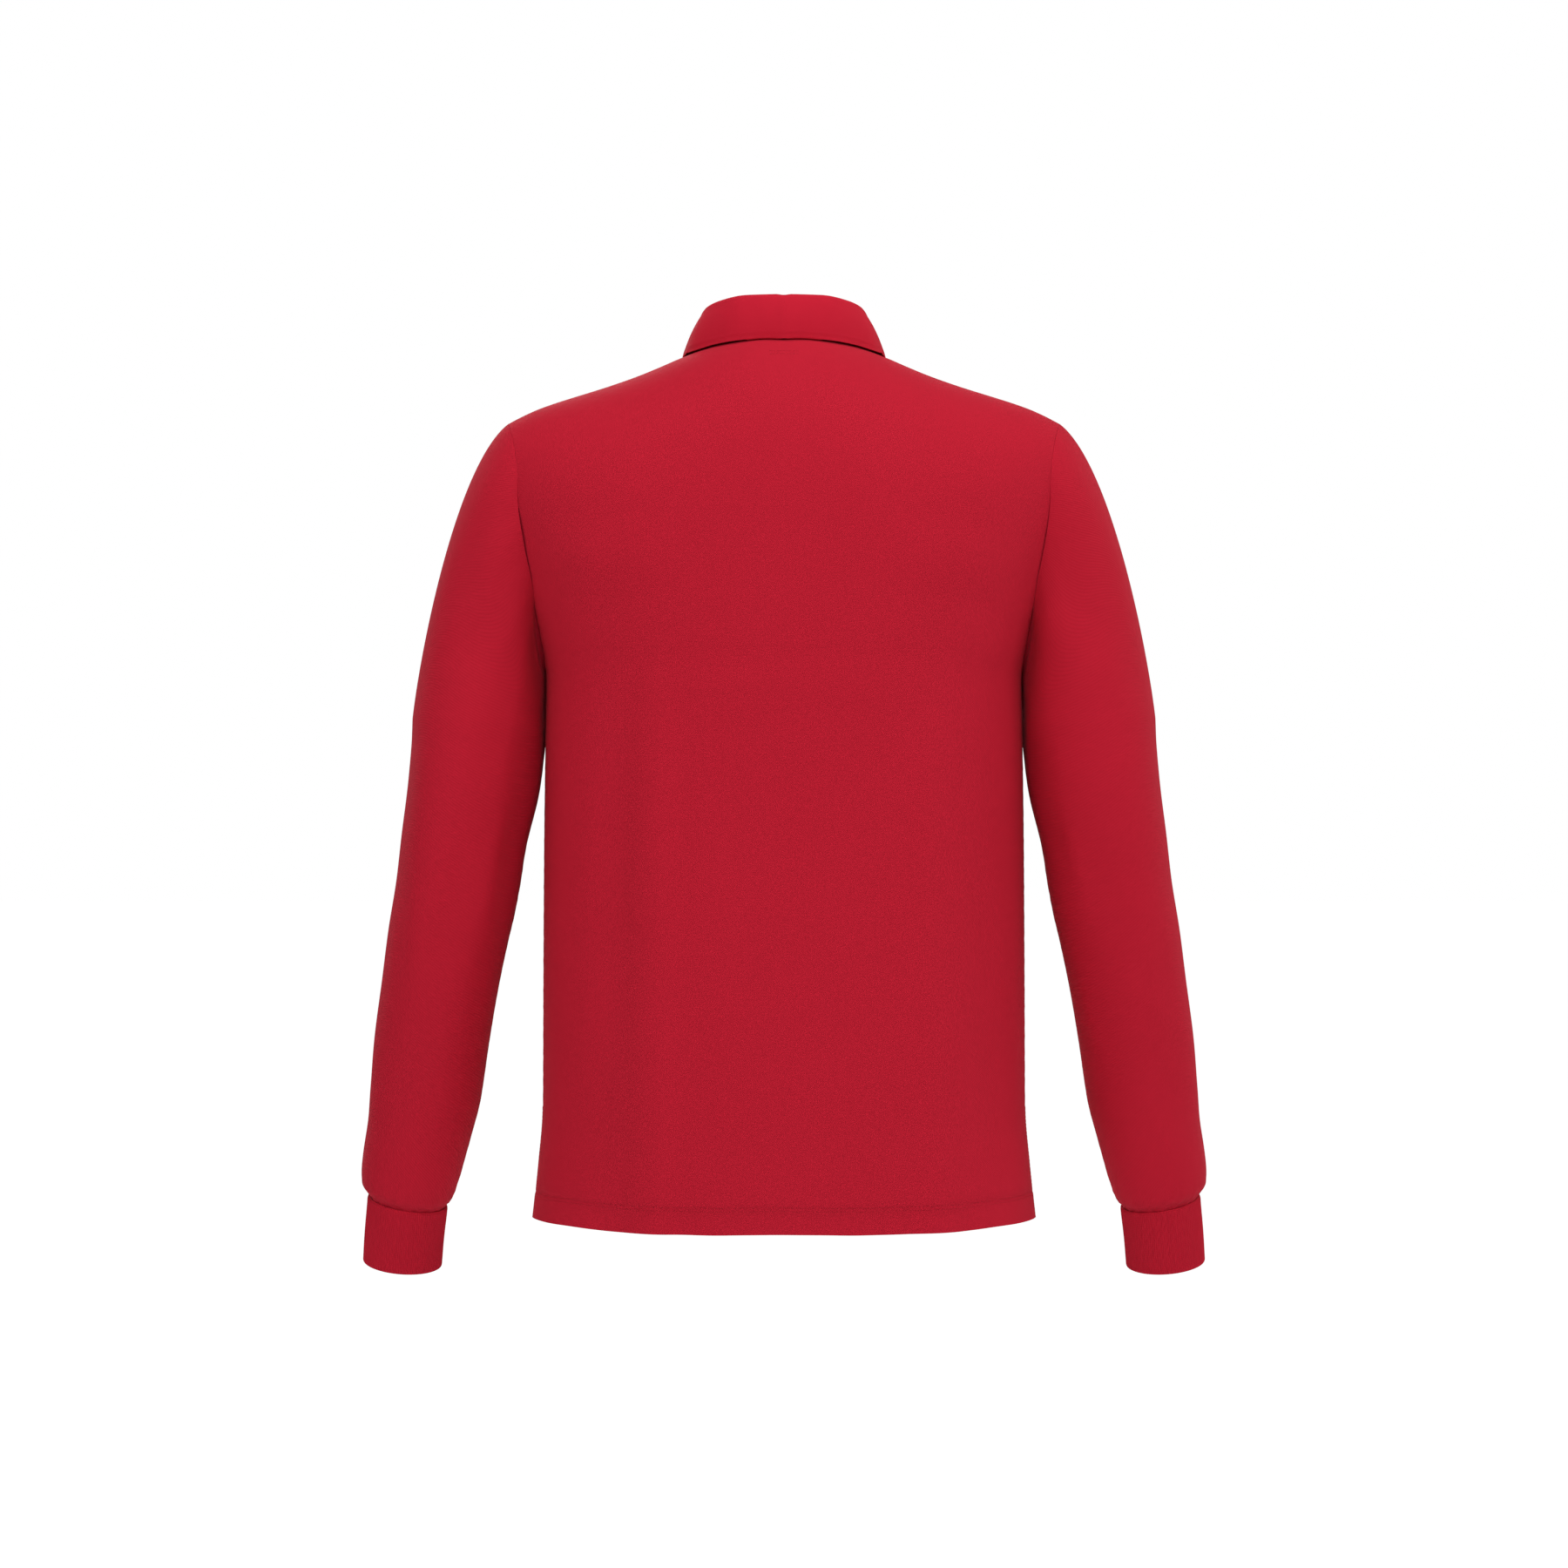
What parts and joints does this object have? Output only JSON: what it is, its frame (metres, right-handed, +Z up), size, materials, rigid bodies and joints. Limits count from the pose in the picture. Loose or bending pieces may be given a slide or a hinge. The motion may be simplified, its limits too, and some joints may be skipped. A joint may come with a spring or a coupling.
{
  "type": "long-sleeve polo shirt",
  "caption": "Long-sleeve pique-knit polo shirt in its worn, filled-out form: turned-down collar, buttoned front placket, ribbed cuffs, straight hem with side vents.",
  "frame": {"origin": "middle of the neck at the height of the shoulder seams' neck ends, where the wearer's shoulders carry the shirt", "axes": "+Z up along the wearer's back, +X towards the wearer's left, -Y the way the wearer faces"},
  "size_m": [0.6884, 0.252, 0.7819],
  "materials": {
    "pique": "matt cotton pique knit",
    "rib_knit": "matt ribbed knit",
    "collar_knit": "matt flat knit",
    "button_resin": "satin resin"
  },
  "bodies": {
    "root": {"back_panel": "pique", "front_panel": "pique", "placket_under": "pique", "placket_upper": "pique", "button_1": "button_resin", "button_2": "button_resin", "button_3": "button_resin", "sleeve_left": "pique", "sleeve_right": "pique", "cuff_left": "rib_knit", "cuff_right": "rib_knit", "collar": "collar_knit"}
  },
  "joints": []
}
